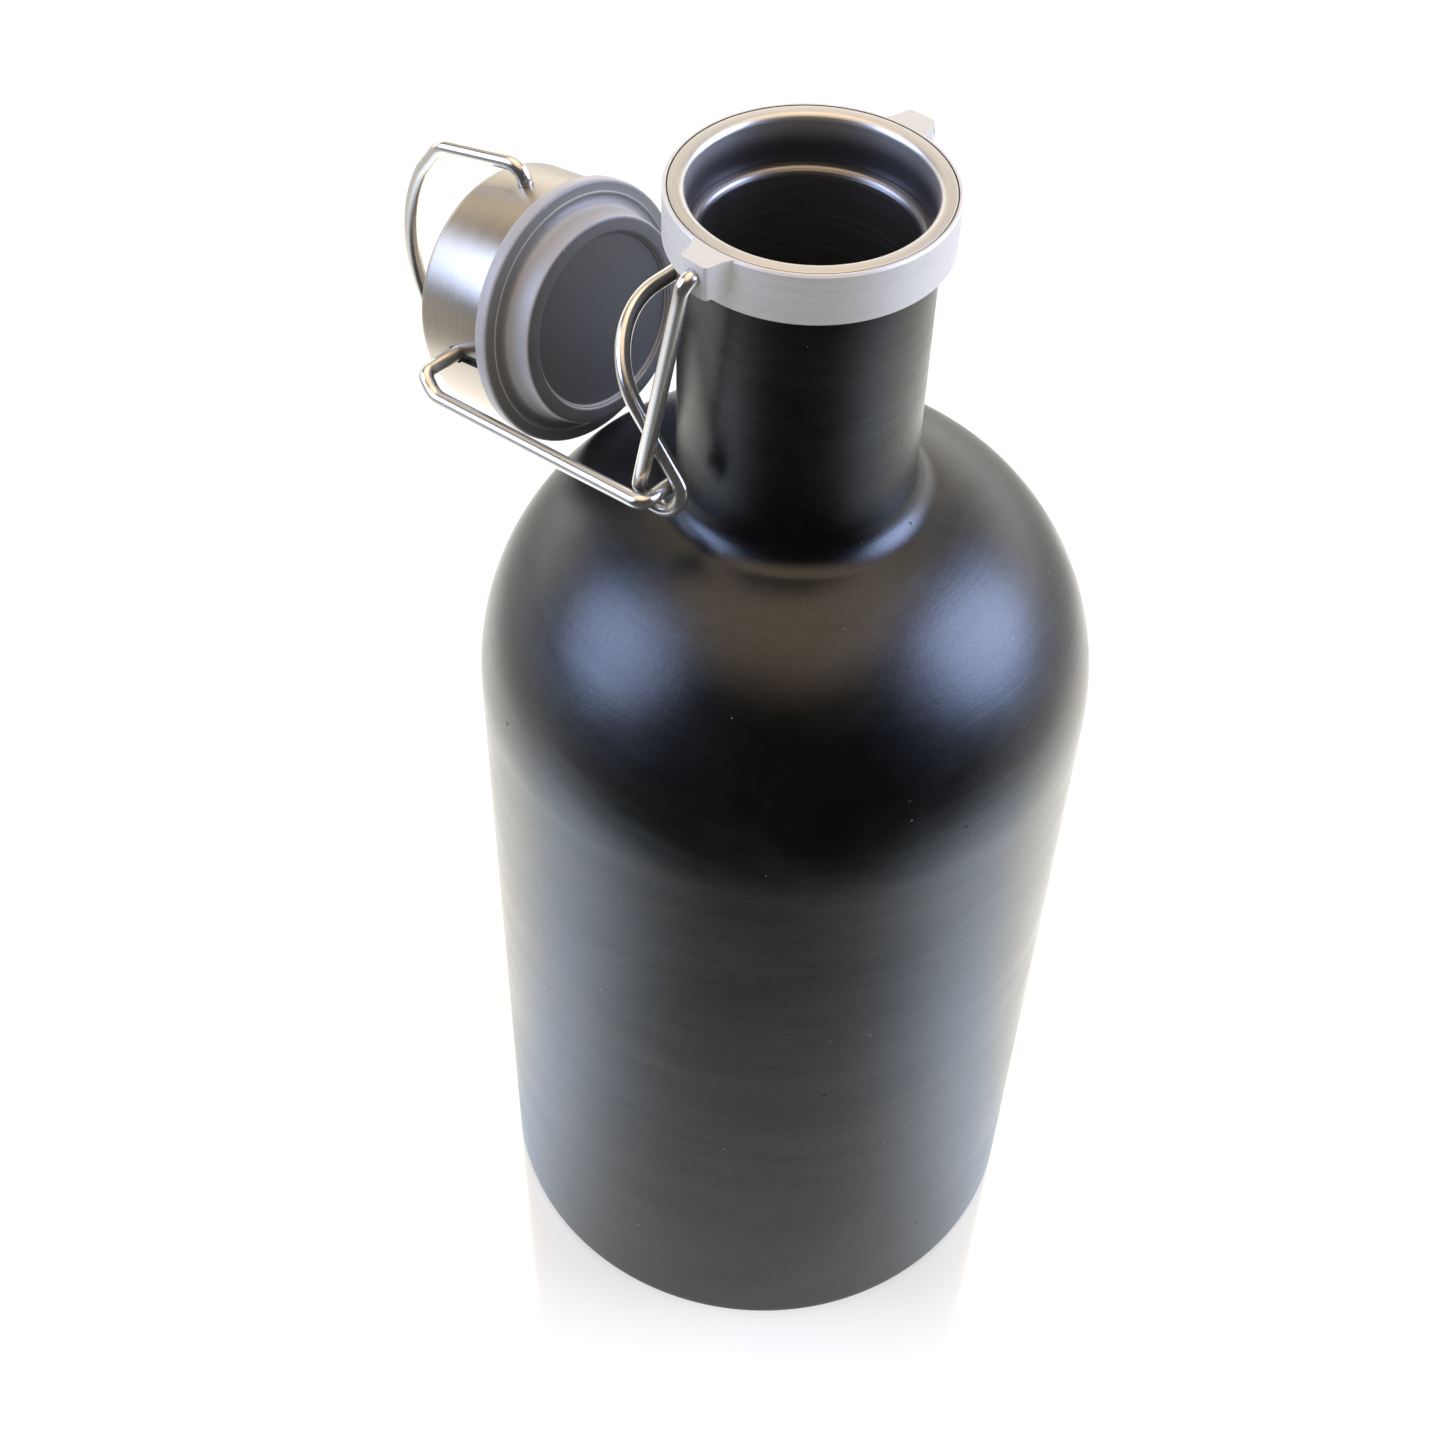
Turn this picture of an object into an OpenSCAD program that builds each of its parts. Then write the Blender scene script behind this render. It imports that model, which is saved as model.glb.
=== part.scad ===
// Vacuum-insulated growler with an over-centre wire closure.
// Units are millimetres. +Z is up, the bottle axis is Z and the base rests on Z = 0.
// The lever pivots lie on the Y axis direction, and the open lid hangs towards -X.

/* [Bottle] */
// outside diameter of the body
body_d = 127; // [110:1:140]
// height of the mouth rim above the base
bottle_h = 285.5; // [250:0.5:320]
// height where the straight body meets the shoulder
shoulder_z = 168.3; // [140:0.1:190]
// height of the elliptical shoulder
shoulder_h = 51.9; // [40:0.1:60]
// radius left of the axis at which the shoulder ellipse is centred
shoulder_r = 15.5; // [10:0.1:20]
// outside diameter of the neck
neck_d = 46.3; // [44:0.1:48]
// radius of the fillet at the foot of the neck
foot_r = 6.6; // [4:0.1:10]
// thickness of the outer steel wall
outer_t = 0.8; // [0.6:0.1:1.2]
// thickness of the inner steel wall
inner_t = 0.6; // [0.5:0.1:1]
// width of the vacuum space between the two walls
vacuum_gap = 3.8; // [3:0.1:6]
// radius of the narrow bore inside the neck
neck_bore_r = 19.5; // [18:0.1:20]

/* [Mouth] */
// radius of the bore that takes the plug
mouth_r = 21.9; // [21.5:0.1:23]
// outside radius of the bare steel mouth ring
ring_r = 25; // [24:0.1:26]
// outside radius of the collar
collar_r = 25.9; // [25.5:0.1:27]
// height of the collar
collar_h = 10.2; // [8:0.1:14]
// distance from the axis to the outer face of a pivot lug
lug_y = 30.3; // [29:0.1:32]
// height of a pivot lug
lug_h = 6.5; // [5:0.1:8]
// depth of the pivot axis below the rim
pivot_drop = 3; // [2.5:0.1:4]

/* [Closure wires] */
// diameter of the closure wires
wire_d = 3; // [2.5:0.1:3.5]
// distance from the axis to the lever legs
lever_y = 32.4; // [32:0.1:34]
// distance from the axis to the bail legs
bail_y = 35.8; // [35:0.1:37]
// X of the lever eye
eye_x = -6.7; // [-8:0.1:-5]
// Z of the lever eye
eye_z = 231.8; // [229:0.1:235]
// centreline radius of the lever eye
eye_r = 3.9; // [3.6:0.1:4.5]
// angle of the lever handle from the vertical
handle_tilt = 42; // [30:1:50]
// reach of the lever handle from its eye
handle_h = 32.5; // [28:0.5:36]

/* [Lid] */
// X of the lid's hinge axis
lid_x = -67.6; // [-72:0.1:-60]
// Z of the lid's hinge axis
lid_z = 227.1; // [220:0.1:235]
// angle of the open lid's axis above the horizontal
lid_tilt = 10; // [0:1:20]
// outside radius of the steel cap
cap_r = 25.5; // [24:0.1:28]
// distance from the hinge axis to the closed end of the cap
cap_back = 10.3; // [8:0.1:12]
// distance from the hinge axis to the sealing face
seal_front = 11.3; // [10:0.1:13]
// outside radius of the sealing flange
flange_r = 27.1; // [26:0.1:29]
// thickness of the sealing flange
flange_t = 3.3; // [2:0.1:4]
// radius of the plug at its root
plug_r = 21.7; // [20:0.1:21.8]
// length of the plug
plug_h = 5.9; // [5:0.1:9]
// half width of the lid loop
loop_r = 29.6; // [28:0.1:36]
// reach of the lid loop from the hinge axis
loop_h = 35.5; // [30:0.5:40]
// angle at which the lid loop rests to one side
loop_rest = 8; // [0:1:15]

/* [Hidden] */
fn = 96;
body_r = body_d / 2;
neck_r = neck_d / 2;
wr = wire_d / 2;
pivot_z = bottle_h - pivot_drop;
ledge_z = bottle_h - collar_h + 0.7;
in_r = body_r - outer_t - vacuum_gap;
lever_bend = 2;
bail_bend = 2.2;

// ---- bottle profile --------------------------------------------------------
sh_a = body_r - shoulder_r;

// Point of the shoulder ellipse at angle t, moved inwards by d.
function sh_pt(t, d) =
  let (nx = cos(t) / sh_a, nz = sin(t) / shoulder_h, k = norm([nx, nz]))
  [shoulder_r + sh_a * cos(t) - d * nx / k, shoulder_z + shoulder_h * sin(t) - d * nz / k];

// Height of the foot fillet's centre, found by walking up until the fillet touches the shoulder.
foot_x = neck_r + foot_r;
foot_t = acos((foot_x - shoulder_r - foot_r * 0.27) / sh_a);
foot_n = [cos(foot_t) / sh_a, sin(foot_t) / shoulder_h] / norm([cos(foot_t) / sh_a, sin(foot_t) / shoulder_h]);
foot_p = sh_pt(foot_t, 0);
foot_a = atan2(-foot_n[1], -foot_n[0]) + 360;
foot_c = [neck_r + foot_r, foot_p[1] + foot_r * foot_n[1]];

// Contour of the shoulder at depth d below the surface, from the straight body up to the neck weld.
function contour(d) = [for (i = [0 : 22]) sh_pt(foot_t * i / 22, d)];

// Contour of the flared neck tube at depth d, from the weld up to the height top.
function neck_contour(d, top) = concat(
  [for (i = [0 : 8]) let (a = foot_a + (180 - foot_a) * i / 8)
    foot_c + (foot_r + d) * [cos(a), sin(a)]],
  [[neck_r - d, top]]);

function rev(v) = [for (i = [len(v) - 1 : -1 : 0]) v[i]];

module turn(pts) {
  rotate_extrude($fn = fn) polygon(pts);
}

// ---- wire helpers ----------------------------------------------------------
function unit(v) = v / norm(v);

// Rounds each inner corner of a polyline; r[i] is the bend radius at point i.
function fillet(p, r, n) = [for (i = [0 : len(p) - 1])
  if (i == 0 || i == len(p) - 1 || r[i] == 0) p[i]
  else let (a = unit(p[i - 1] - p[i]), b = unit(p[i + 1] - p[i]),
      half = acos(a * b) / 2, cut = r[i] / tan(half), c = p[i] + unit(a + b) * r[i] / sin(half),
      u = unit(p[i] + a * cut - c), w0 = p[i] + b * cut - c, w = unit(w0 - (w0 * u) * u),
      sweep = 180 - 2 * half)
    for (k = [0 : n]) let (t = sweep * k / n) c + r[i] * (cos(t) * u + sin(t) * w)];

function tangents(p) = [for (i = [0 : len(p) - 1])
  unit(p[min(i + 1, len(p) - 1)] - p[max(i - 1, 0)])];

// Side vectors carried along the path without twist.
function sides(t, i = 0, s = undef, out = []) =
  i == len(t) ? out
  : let (g = s == undef ? (abs(t[0] * [0, 0, 1]) < 0.9 ? [0, 0, 1] : [1, 0, 0]) : s,
      e = unit(g - (g * t[i]) * t[i]))
    sides(t, i + 1, e, concat(out, [e]));

module wire(p, r, n = 14) {
  t = tangents(p);
  s = sides(t);
  pts = [for (i = [0 : len(p) - 1]) for (k = [0 : n - 1]) let (a = 360 * k / n)
    p[i] + r * (cos(a) * s[i] + sin(a) * cross(t[i], s[i]))];
  m = len(p);
  walls = [for (i = [0 : m - 2]) for (k = [0 : n - 1]) each [
    [i * n + k, (i + 1) * n + k, i * n + (k + 1) % n],
    [i * n + (k + 1) % n, (i + 1) * n + k, (i + 1) * n + (k + 1) % n]]];
  polyhedron(points = pts, faces = concat(
    walls, [[for (k = [0 : n - 1]) k]], [[for (k = [n - 1 : -1 : 0]) (m - 1) * n + k]]));
}

module rod_y(x, z, y0, y1, r) {
  translate([x, min(y0, y1), z]) rotate([-90, 0, 0]) cylinder(h = abs(y1 - y0), r = r, $fn = 48);
}

// ---- bottle ----------------------------------------------------------------
module outer_shell() {
  color("#16181b") turn(concat(
    [[body_r - 0.7, 0.9], [body_r - 0.2, 1.1], [body_r, 1.6]],
    contour(0), rev(contour(outer_t)), [[body_r - outer_t, 0.9]]));
}

module outer_neck() {
  // Flared neck tube welded to the top of the shoulder.
  color("#16181b") turn(concat(neck_contour(0, ledge_z), rev(neck_contour(outer_t, ledge_z))));
}

module outer_bottom() {
  // Pan welded inside the foot of the outer shell, with a dimple round the evacuation hole.
  color("#9a9c9f") difference() {
    turn([[0, 2.4], [5.4, 2.4], [6.4, 1.5], [61.4, 1.5], [62.65, 2.6], [62.65, 9.5],
      [61.85, 9.5], [61.85, 3], [61.1, 2.3], [6.7, 2.3], [5.7, 3.2], [0, 3.2]]);
    translate([0, 0, 1]) cylinder(h = 4, r = 0.8, $fn = 24);
  }
}

module base_cover() {
  // Thin cover disc that hides the evacuation seal and forms the flat foot.
  color("#1b1d20") turn([[0, 0], [61.4, 0], [62.1, 0.5], [62.1, 0.85], [61.2, 1.45], [0, 1.45]]);
}

module evacuation_seal() {
  color("#8d8f86") union() {
    translate([0, 0, 1.55]) cylinder(h = 0.83, r = 2.6, $fn = 32);
    translate([0, 0, 2]) cylinder(h = 1.3, r = 0.76, $fn = 24);
  }
}

in_sh_r = shoulder_r - 1;
in_sh_a = in_r - in_sh_r;
in_sh_h = shoulder_h - vacuum_gap - 0.8;
in_t = acos((neck_bore_r + inner_t + 6 - in_sh_r - 1.6) / in_sh_a);

function in_pt(t, d) =
  let (nx = cos(t) / in_sh_a, nz = sin(t) / in_sh_h, k = norm([nx, nz]))
  [in_sh_r + in_sh_a * cos(t) - d * nx / k, shoulder_z + in_sh_h * sin(t) - d * nz / k];

in_n = [cos(in_t) / in_sh_a, sin(in_t) / in_sh_h] / norm([cos(in_t) / in_sh_a, sin(in_t) / in_sh_h]);
in_rf = (in_pt(in_t, 0)[0] - neck_bore_r - inner_t) / (1 - in_n[0]);
in_c = in_pt(in_t, 0) + in_rf * in_n;
in_a0 = atan2(-in_n[1], -in_n[0]) + 360;

// Contours of the flask's shoulder and of its neck's foot at depth d inside the outer surface.
function in_contour(d) = [for (i = [0 : 18]) in_pt(in_t * i / 18, d)];
function in_foot(d) =
  [for (i = [0 : 8]) let (a = in_a0 + (180 - in_a0) * i / 8) in_c + (in_rf + d) * [cos(a), sin(a)]];

module inner_wall() {
  // Straight flask wall and shoulder.
  color("#8f9194") turn(concat(
    [[in_r, 12]], in_contour(0), rev(in_contour(inner_t)), [[in_r - inner_t, 12]]));
}

module inner_neck() {
  // Narrow neck tube with the turned-out lip that carries the mouth ledge.
  lip = [for (i = [0 : 5]) let (a = 180 - 90 * i / 5)
    [neck_bore_r + inner_t + 1 + cos(a), ledge_z - inner_t - 1 + sin(a)]];
  lip_in = [for (i = [0 : 5]) let (a = 90 + 90 * i / 5)
    [neck_bore_r + inner_t + 1 + (1 + inner_t) * cos(a), ledge_z - inner_t - 1 + (1 + inner_t) * sin(a)]];
  color("#8f9194") turn(concat(
    in_foot(0), lip,
    [[neck_r - outer_t - 0.05, ledge_z - inner_t], [neck_r - outer_t - 0.05, ledge_z - 0.05],
      [neck_bore_r + inner_t + 1, ledge_z - 0.05]],
    [for (i = [1 : 5]) lip_in[i] - [0, 0.05]],
    rev(in_foot(inner_t))));
}

module inner_bottom() {
  // Dished bottom welded to the flask wall.
  color("#8f9194") turn([[0, 8.6], [48, 7.4], [53, 7.2], [56, 7.9], [57.6, 9.6], [in_r, 11.95],
    [in_r - inner_t, 11.95], [57, 10.1], [55.6, 8.5], [53, 7.8], [48, 8], [0, 9.2]]);
}

module getter_clip() {
  color("#a2a4a6") turn([[0, 6.0], [6.6, 6.0], [6.6, 7.2], [7.2, 7.2], [7.2, 5.5], [0, 5.5]]);
}

module getter() {
  color("#70726f") translate([0, 0, 6.05]) cylinder(h = 1.6, r = 5.8, $fn = 40);
}

// ---- mouth -----------------------------------------------------------------
module mouth_ring() {
  edge = [for (i = [0 : 5]) let (a = 180 - 90 * i / 5) [mouth_r + 0.7 + 0.7 * cos(a), bottle_h - 0.7 + 0.7 * sin(a)]];
  color("#bdbfc2") turn(concat(
    [[ring_r, ledge_z + 0.05], [ring_r, bottle_h - 0.3], [ring_r - 0.3, bottle_h]],
    rev(edge), [[mouth_r, ledge_z + 0.05]]));
}

module lug() {
  // Drafted lug, wide at the collar and narrow at its outer face.
  translate([0, 0, bottle_h - lug_h]) linear_extrude(height = lug_h)
    polygon([[-5.2, 24], [-4.3, 25.6], [-3.6, 26.9], [-3.2, 28.6], [-3.1, lug_y - 0.9], [-2.85, lug_y - 0.3],
      [-2.3, lug_y], [2.3, lug_y], [2.85, lug_y - 0.3], [3.1, lug_y - 0.9], [3.2, 28.6], [3.6, 26.9],
      [4.3, 25.6], [5.2, 24]]);
}

module neck_collar() {
  zb = bottle_h - collar_h;
  color("#c4c6c8") difference() {
    union() {
      turn([[neck_r + 0.05, zb], [collar_r - 0.5, zb], [collar_r, zb + 0.5], [collar_r, bottle_h - 0.35],
        [collar_r - 0.35, bottle_h], [24.2, bottle_h], [24.2, ledge_z + 0.02], [neck_r + 0.05, ledge_z - 0.05]]);
      lug();
      rotate([0, 0, 180]) lug();
    }
    translate([0, 0, ledge_z]) cylinder(h = collar_h + 1, r = ring_r + 0.05, $fn = fn);
    translate([0, 0, zb - 1]) cylinder(h = collar_h, r = neck_r + 0.05, $fn = fn);
    rod_y(0, pivot_z, -lug_y - 1, -ring_r + 1, wr + 0.06);
    rod_y(0, pivot_z, ring_r - 1, lug_y + 1, wr + 0.06);
  }
}

// ---- lever -----------------------------------------------------------------
pe = [eye_x, eye_z - pivot_z];
leg_tilt = atan2(-pe[0], -pe[1]) + asin(eye_r / norm(pe));
arc_y = lever_y - wire_d - 0.3;
eye_a0 = 180 - leg_tilt;
eye_a1 = 360 + handle_tilt;
hd = [-sin(handle_tilt), cos(handle_tilt)];
h0 = [eye_x + eye_r * cos(handle_tilt), eye_z + eye_r * sin(handle_tilt)];

// Half of the lever on the side s, from its pin to the middle of the handle.
function lever_half(s) = concat(
  fillet([[0, s * (lug_y - 0.6), pivot_z], [0, s * lever_y, pivot_z],
    [-sin(leg_tilt) * 8, s * lever_y, pivot_z - cos(leg_tilt) * 8]], [0, lever_bend, 0], 6),
  [for (i = [0 : 16]) let (a = eye_a0 + (eye_a1 - eye_a0) * i / 16)
    [eye_x + eye_r * cos(a), s * (lever_y + (arc_y - lever_y) * i / 16), eye_z + eye_r * sin(a)]],
  [for (q = fillet([[0, arc_y], [handle_h, arc_y], [handle_h, 0]], [0, 17, 0], 10))
    if (q[0] > 1) [h0[0] + q[0] * hd[0], s * q[1], h0[1] + q[0] * hd[1]]]);

module lever_wire() {
  near = lever_half(-1);
  far = lever_half(1);
  color("#c9c7c2") union() {
    wire(concat([for (i = [0 : len(near) - 2]) near[i]], rev(far)), wr - 0.01);
    rod_y(0, pivot_z, -lug_y + 0.2, -ring_r - 0.35, wr);
    rod_y(0, pivot_z, ring_r + 0.35, lug_y - 0.2, wr);
  }
}

// ---- bail ------------------------------------------------------------------
// Half of the bail on the side s, from its hook to the lid's hinge axis.
function bail_half(s) = fillet([
  [eye_x, s * (lever_y - 2.2), eye_z], [eye_x, s * bail_y, eye_z],
  [lid_x + 4.4, s * (bail_y - 0.4), lid_z - 2.2], [lid_x + 0.3, s * (bail_y - 1.6), lid_z + 0.6],
  [lid_x, s * 26, lid_z]], [0, bail_bend, 5, 2.4, 0], 6);

module bail_wire() {
  color("#c9c7c2") union() {
    wire(bail_half(-1), wr - 0.01);
    wire(bail_half(1), wr - 0.01);
    rod_y(lid_x, lid_z, -28.5, 28.5, wr);
    rod_y(eye_x, eye_z, -bail_y + bail_bend + 0.1, -arc_y + 2.2, wr);
    rod_y(eye_x, eye_z, arc_y - 2.2, bail_y - bail_bend - 0.1, wr);
  }
}

// ---- lid -------------------------------------------------------------------
// Local frame of the lid: Z runs from the closed end to the plug, Y is the hinge axis.
module at_lid() {
  translate([lid_x, 0, lid_z]) rotate([0, 90 - lid_tilt, 0]) children();
}

cap_edge = seal_front - flange_t - 0.05;
axle_r = wr + 0.06;

module lid_cap() {
  // Drawn steel cup with two keyhole slots for the bail and two round holes for the loop.
  er = 1.8;
  out = [for (i = [0 : 5]) let (a = -90 + 90 * i / 5) [cap_r - er + er * cos(a), -cap_back + er + er * sin(a)]];
  ins = [for (i = [0 : 5]) let (a = -90 * i / 5)
    [cap_r - er + (er - 0.8) * cos(a), -cap_back + er + (er - 0.8) * sin(a)]];
  color("#c6c5c1") at_lid() difference() {
    turn(concat([[0, -cap_back]], out, [[cap_r, cap_edge], [cap_r - 0.8, cap_edge]], ins, [[0, -cap_back + 0.8]]));
    rod_y(0, 0, -cap_r - 1, cap_r + 1, 1.85);
    translate([-1.15, -cap_r - 1, 0]) cube([2.3, 2 * cap_r + 2, cap_edge + 1]);
    rotate([0, 90, 0]) translate([0, 0, -cap_r - 1]) cylinder(h = 2 * cap_r + 2, r = axle_r, $fn = 48);
  }
}

module lid_core() {
  // Moulded carrier with an open channel for the bail and a socket for the stopper's stem.
  color("#3c3c3b") at_lid() difference() {
    turn([[0, -2.6], [cap_r - 1.4, -2.6], [cap_r - 1.1, -2.3], [cap_r - 1.1, cap_edge - 0.05],
      [9.1, cap_edge - 0.05], [9.1, 4.2], [0, 4.2]]);
    rod_y(0, 0, -cap_r, cap_r, axle_r);
    translate([-axle_r, -cap_r, -4]) cube([2 * axle_r, 2 * cap_r, 4]);
    for (s = [-1, 1]) translate([s * 24, 0, 0]) rotate([0, 90, 0]) cylinder(h = 5, r = 2.8, center = true, $fn = 32);
  }
}

module lid_stopper() {
  // Silicone stopper: stem, sealing flange with a raised line, tapered plug and shallow recess.
  f0 = seal_front - flange_t;
  f1 = seal_front;
  tip = f1 + plug_h;
  color("#8c8f94") at_lid() turn(concat(
    [[0, 4.3], [8.4, 4.3], [9, 4.9], [9, f0], [flange_r - 0.7, f0]],
    [for (i = [1 : 4]) let (a = -90 + 90 * i / 4) [flange_r - 0.7 + 0.7 * cos(a), f0 + 0.7 + 0.7 * sin(a)]],
    [for (i = [1 : 4]) let (a = 90 * i / 4) [flange_r - 0.9 + 0.9 * cos(a), f1 - 0.9 + 0.9 * sin(a)]],
    [[24.75, f1], [24.6, f1 + 0.35], [24.25, f1 + 0.35], [24.1, f1 - 0.05], [22.5, f1 - 0.05], [plug_r, f1 + 0.7]],
    [for (i = [0 : 4]) let (a = 90 * i / 4) [plug_r - 1.1 + 0.8 * cos(a), tip - 0.8 + 0.8 * sin(a)]],
    [[18.5, tip], [18.1, tip - 0.35], [17.9, tip - 1], [17.6, tip - 1.1], [0, tip - 1.1]]));
}

// Half of the lid loop on the side s, in the lid frame with the loop hanging along -Z.
loop_big = 38;
loop_c = loop_h - loop_big;
function loop_half(s) = concat(
  fillet([[s * (cap_r - 0.6), 0, 0], [s * loop_r, 0, 0], [s * loop_r, 0, -9]], [0, 3.8, 0], 7),
  fillet([[s * loop_r, 0, -15], [s * loop_r, 0, -loop_c - 23.6], [s * 23.5, 0, -loop_c - 29.86]], [0, 5, 0], 7),
  [for (i = [1 : 8]) let (a = 38.2 * (1 - i / 8))
    [s * loop_big * sin(a), 0, -loop_c - loop_big * cos(a)]]);

module lid_loop() {
  a = loop_half(1);
  b = loop_half(-1);
  color("#c9c7c2") at_lid() rotate([-loop_rest, 0, 0]) union() {
    wire(concat([for (i = [0 : len(a) - 2]) a[i]], rev(b)), wr - 0.01);
    for (s = [-1, 1]) {
      translate([s * 24.9, 0, 0]) rotate([0, 90, 0]) cylinder(h = 2.6, r = wr, center = true, $fn = 48);
      translate([s * 23.6, 0, 0]) rotate([0, 90, 0]) cylinder(h = 1.2, r = 2.2, center = true, $fn = 32);
    }
  }
}

outer_shell();
outer_neck();
outer_bottom();
base_cover();
evacuation_seal();
inner_wall();
inner_neck();
inner_bottom();
getter();
getter_clip();
mouth_ring();
neck_collar();
lever_wire();
bail_wire();
lid_cap();
lid_core();
lid_stopper();
lid_loop();
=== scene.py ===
"""Insulated growler with an open wire closure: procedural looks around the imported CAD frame.

All lengths in the shape helpers are millimetres and become metres when a mesh is made.
"""
import math

import bmesh
import bpy
from mathutils import Euler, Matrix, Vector


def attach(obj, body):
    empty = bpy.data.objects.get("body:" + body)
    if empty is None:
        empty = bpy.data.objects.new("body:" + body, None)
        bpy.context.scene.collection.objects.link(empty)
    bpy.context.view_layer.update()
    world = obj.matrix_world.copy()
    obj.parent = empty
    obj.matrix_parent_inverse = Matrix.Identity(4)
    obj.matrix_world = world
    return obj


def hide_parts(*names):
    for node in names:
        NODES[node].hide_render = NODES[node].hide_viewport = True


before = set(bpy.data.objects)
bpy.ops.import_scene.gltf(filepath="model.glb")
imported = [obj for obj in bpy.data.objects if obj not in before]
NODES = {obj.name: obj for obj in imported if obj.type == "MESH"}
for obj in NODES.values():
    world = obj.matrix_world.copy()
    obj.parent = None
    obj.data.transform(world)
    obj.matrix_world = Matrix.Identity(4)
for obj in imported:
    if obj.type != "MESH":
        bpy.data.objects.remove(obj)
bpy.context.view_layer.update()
MM = 0.001

# ---------------------------------------------------------------- main sizes (mm)
BODY_R, NECK_R, HEIGHT = 63.5, 23.15, 285.5
SHOULDER_R, SHOULDER_Z, SHOULDER_H, FOOT_R = 15.5, 168.3, 51.9, 6.6
OUTER_T, LEDGE_Z, NECK_START = 0.8, 276.0, 226.0
MOUTH_R, MOUTH_EDGE, RING_R = 21.9, 1.3, 25.0
PIVOT_Z = 282.5
WIRE_R = 1.5
LEVER_Y, BAIL_Y = 32.4, 35.8
EYE = (-6.7, 231.8)
EYE_R, HANDLE_TILT, HANDLE_H = 3.9, 42.0, 32.5
LID = (-67.6, 227.1)
LID_TILT = 10.0
CAP_R, SEAL_FRONT = 25.5, 11.3
FLANGE_R, FLANGE_T, PLUG_R, PLUG_H, RECESS_R = 27.1, 3.3, 21.7, 5.9, 17.9
LOOP_R, LOOP_H, LOOP_REST = 29.6, 35.5, 8.0
# how far in from a cut wire end each ring lies (mm), and its radius as a part of the wire's
WIRE_END = ((0.045, 0.45), (0.15, 0.8), (0.31, 0.96))

# ---------------------------------------------------------------- camera and studio
CAMERA_AT = (0.19747, -0.24825, 0.49786)
CAMERA_TURN = (42.183, -1.192, 42.092)
CAMERA_LENS = 53.99
# level directions towards the camera and to its right
FRONT = Vector((0.6225, -0.7826, 0.0))
RIGHT = Vector((0.7826, 0.6225, 0.0))
# each soft box: angle right of the camera, angle up, radius in degrees where its light ends and where it
# is full, and its colour
SOFT_BOXES = (
    (-78, 29, 28, 6, (6.0, 7.6, 12.4)),
    (93, 25, 30, 6, (8.3, 10.1, 16.2)),
    (0, 87, 46, 14, (2.4, 1.8, 1.22)),
    (180, 50, 50, 20, (1.1, 0.98, 0.82)),
)
BACK_LIGHT = (2.5, 2.45, 2.35, 1)


def rad(a):
    return math.radians(a)


# ---------------------------------------------------------------- node helpers
class Nodes:
    """A small wrapper that keeps node building short."""

    def __init__(self, tree):
        self.tree = tree
        tree.nodes.clear()

    def new(self, kind, **inputs):
        n = self.tree.nodes.new(kind)
        for k, v in inputs.items():
            self.put(n, k, v)
        return n

    def put(self, n, key, v):
        """Sets or links an input: i2 means input number 2, and anything else is the input's name."""
        numbered = key[0] == "i" and key[1:].isdigit()
        sock = n.inputs[int(key[1:])] if numbered else n.inputs[key.replace("_", " ")]
        if isinstance(v, bpy.types.NodeSocket):
            self.tree.links.new(v, sock)
        else:
            sock.default_value = v

    def math(self, op, a, b=0.0):
        n = self.tree.nodes.new("ShaderNodeMath")
        n.operation = op
        self.put(n, "i0", a)
        self.put(n, "i1", b)
        return n.outputs[0]

    def step(self, value, lo, hi, out0=0.0, out1=1.0):
        """Goes smoothly from out0 at lo to out1 at hi."""
        n = self.tree.nodes.new("ShaderNodeMapRange")
        n.interpolation_type = "SMOOTHSTEP"
        self.put(n, "i0", value)
        for i, v in enumerate((lo, hi, out0, out1)):
            self.put(n, f"i{i + 1}", v)
        return n.outputs[0]

    def vmath(self, op, a, b=None, scale=None):
        n = self.tree.nodes.new("ShaderNodeVectorMath")
        n.operation = op
        self.put(n, "i0", a)
        if b is not None:
            self.put(n, "i1", b)
        if scale is not None:
            self.put(n, "i3", scale)
        return n.outputs[1] if op in ("DOT_PRODUCT", "LENGTH", "DISTANCE") else n.outputs[0]

    def mix(self, fac, a, b, blend="MIX"):
        n = self.tree.nodes.new("ShaderNodeMix")
        n.data_type = "RGBA"
        n.blend_type = blend
        n.clamp_factor = True
        self.put(n, "i0", fac)
        self.put(n, "i6", a)
        self.put(n, "i7", b)
        return n.outputs[2]

    def noise(self, vector, scale, detail=2.0, rough=0.5, distortion=0.0):
        n = self.tree.nodes.new("ShaderNodeTexNoise")
        for k, v in (("Vector", vector), ("Scale", scale), ("Detail", detail), ("Roughness", rough),
                     ("Distortion", distortion)):
            self.put(n, k, v)
        return n.outputs[0]

    def specks(self, x, y, scale, size, keep, seed=0.0):
        """Sparse round marks of uneven size: one in each kept cell of a scattered flat grid."""
        c = self.new("ShaderNodeCombineXYZ", i0=x, i1=y)
        n = self.tree.nodes.new("ShaderNodeTexVoronoi")
        n.voronoi_dimensions = "2D"
        self.put(n, "Vector", self.vmath("ADD", c.outputs[0], (seed, seed * 0.7, 0)))
        self.put(n, "Scale", scale)
        cell = n.outputs["Position"]
        pick = self.noise(self.vmath("SCALE", cell, scale=910.0), 1.0)
        big = self.math("MULTIPLY", self.noise(self.vmath("SCALE", cell, scale=377.0), 1.0), 2 * size)
        near = self.step(n.outputs["Distance"], self.math("MULTIPLY", big, 0.6), big, 1.0, 0.0)
        return self.math("MULTIPLY", near, self.math("GREATER_THAN", pick, keep))

    def stretch(self, vector, x, y, z):
        return self.vmath("MULTIPLY", vector, (x, y, z))

    def coords(self, which="Object"):
        return self.tree.nodes.new("ShaderNodeTexCoord").outputs[which]

    def bump(self, height, strength, distance, normal=None):
        n = self.tree.nodes.new("ShaderNodeBump")
        self.put(n, "Strength", strength)
        self.put(n, "Distance", distance)
        self.put(n, "Height", height)
        if normal is not None:
            self.put(n, "Normal", normal)
        return n.outputs[0]


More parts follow.
